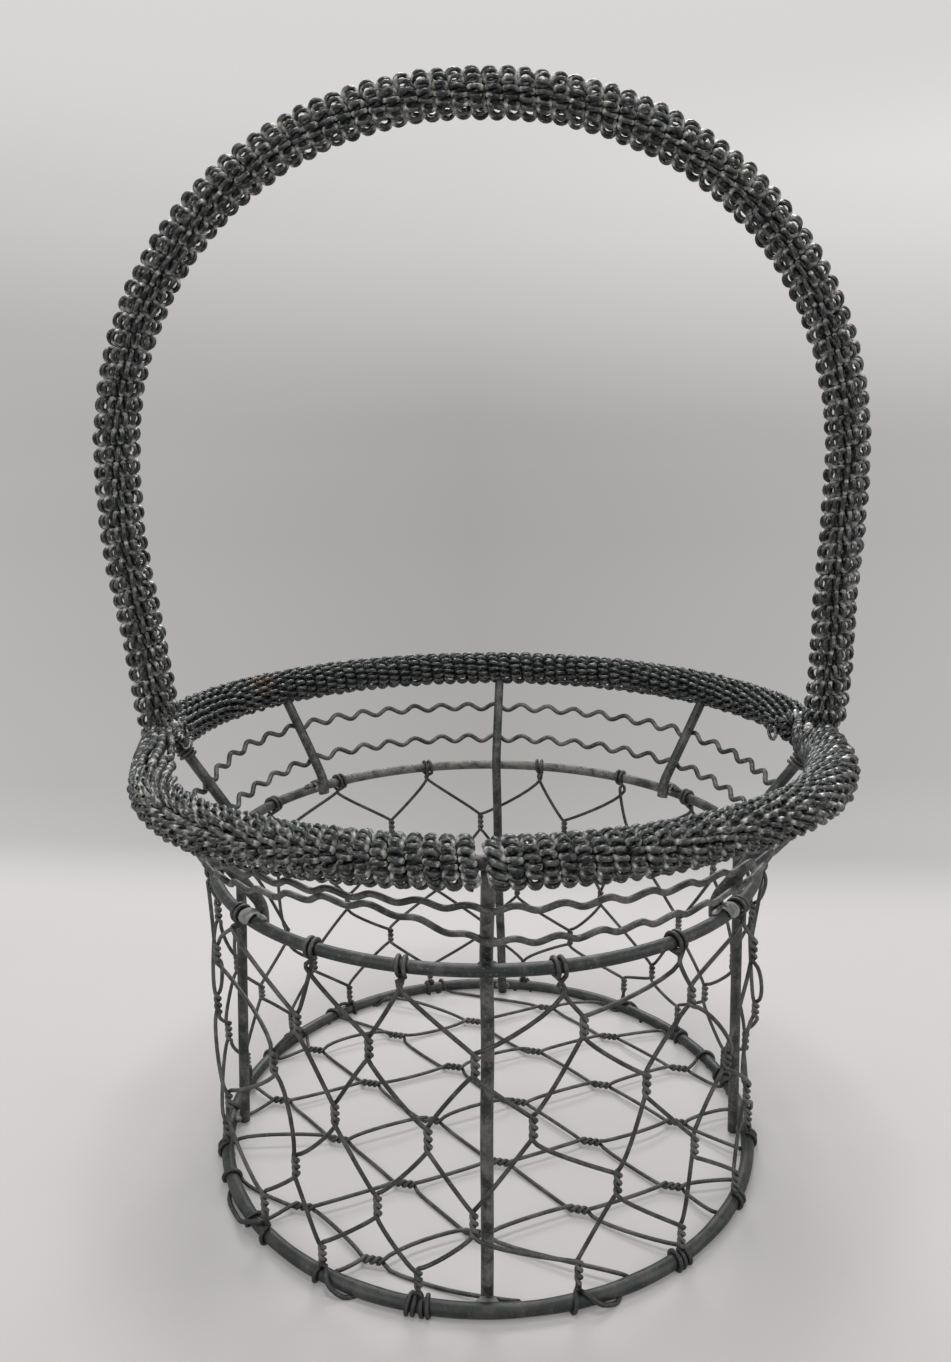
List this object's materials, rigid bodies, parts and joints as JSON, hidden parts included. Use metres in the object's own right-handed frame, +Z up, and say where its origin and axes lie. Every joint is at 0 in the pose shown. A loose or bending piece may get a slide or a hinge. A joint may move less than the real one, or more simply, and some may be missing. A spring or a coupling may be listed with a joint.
{
  "type": "wire egg basket",
  "caption": "Round wire basket with a flared mouth, twisted wire netting on wall and floor, coiled-wire rim and a tall fixed arch handle, for eggs or small goods.",
  "frame": {"origin": "centre of the base hoop, on the surface the basket stands on", "axes": "+Z up, +X to the right along the handle's arch, -Y to the front"},
  "size_m": [0.2132, 0.2022, 0.3012],
  "materials": {
    "base_wire": "dark grey aged coating, satin, worn to lighter grey on the high spots",
    "frame_wire": "dark grey aged coating, satin, rubbed and speckled lighter grey",
    "netting_wire": "dark grey aged coating, satin, rubbed lighter at the twists",
    "coiled_wire": "dark grey aged coating, satin, with pale rubbed crests"
  },
  "bodies": {
    "root": {"base_hoop": "base_wire", "waist_hoop": "frame_wire", "rim_hoop": "frame_wire", "handle_core": "frame_wire", "rim_sleeve": "coiled_wire", "handle_sleeve": "coiled_wire", "rib_front": "frame_wire", "rib_right": "frame_wire", "rib_rear": "frame_wire", "rib_left": "frame_wire", "flare_rib_front_right": "frame_wire", "flare_rib_rear_right": "frame_wire", "flare_rib_rear_left": "frame_wire", "flare_rib_front_left": "frame_wire", "lower_crimped_ring": "frame_wire", "upper_crimped_ring": "frame_wire", "rib_binding_left": "frame_wire", "rib_binding_right": "frame_wire", "wall_wire_01": "netting_wire", "wall_wire_02": "netting_wire", "wall_wire_03": "netting_wire", "wall_wire_04": "netting_wire", "wall_wire_05": "netting_wire", "wall_wire_06": "netting_wire", "wall_wire_07": "netting_wire", "wall_wire_08": "netting_wire", "wall_wire_09": "netting_wire", "wall_wire_10": "netting_wire", "wall_wire_11": "netting_wire", "wall_wire_12": "netting_wire", "wall_wire_13": "netting_wire", "wall_wire_14": "netting_wire", "wall_wire_15": "netting_wire", "wall_wire_16": "netting_wire", "floor_wire_01": "netting_wire", "floor_wire_02": "netting_wire", "floor_wire_03": "netting_wire", "floor_wire_04": "netting_wire", "floor_wire_05": "netting_wire", "floor_wire_06": "netting_wire", "floor_wire_07": "netting_wire", "floor_wire_08": "netting_wire", "floor_wire_09": "netting_wire", "floor_wire_10": "netting_wire", "floor_wire_11": "netting_wire"}
  },
  "joints": []
}
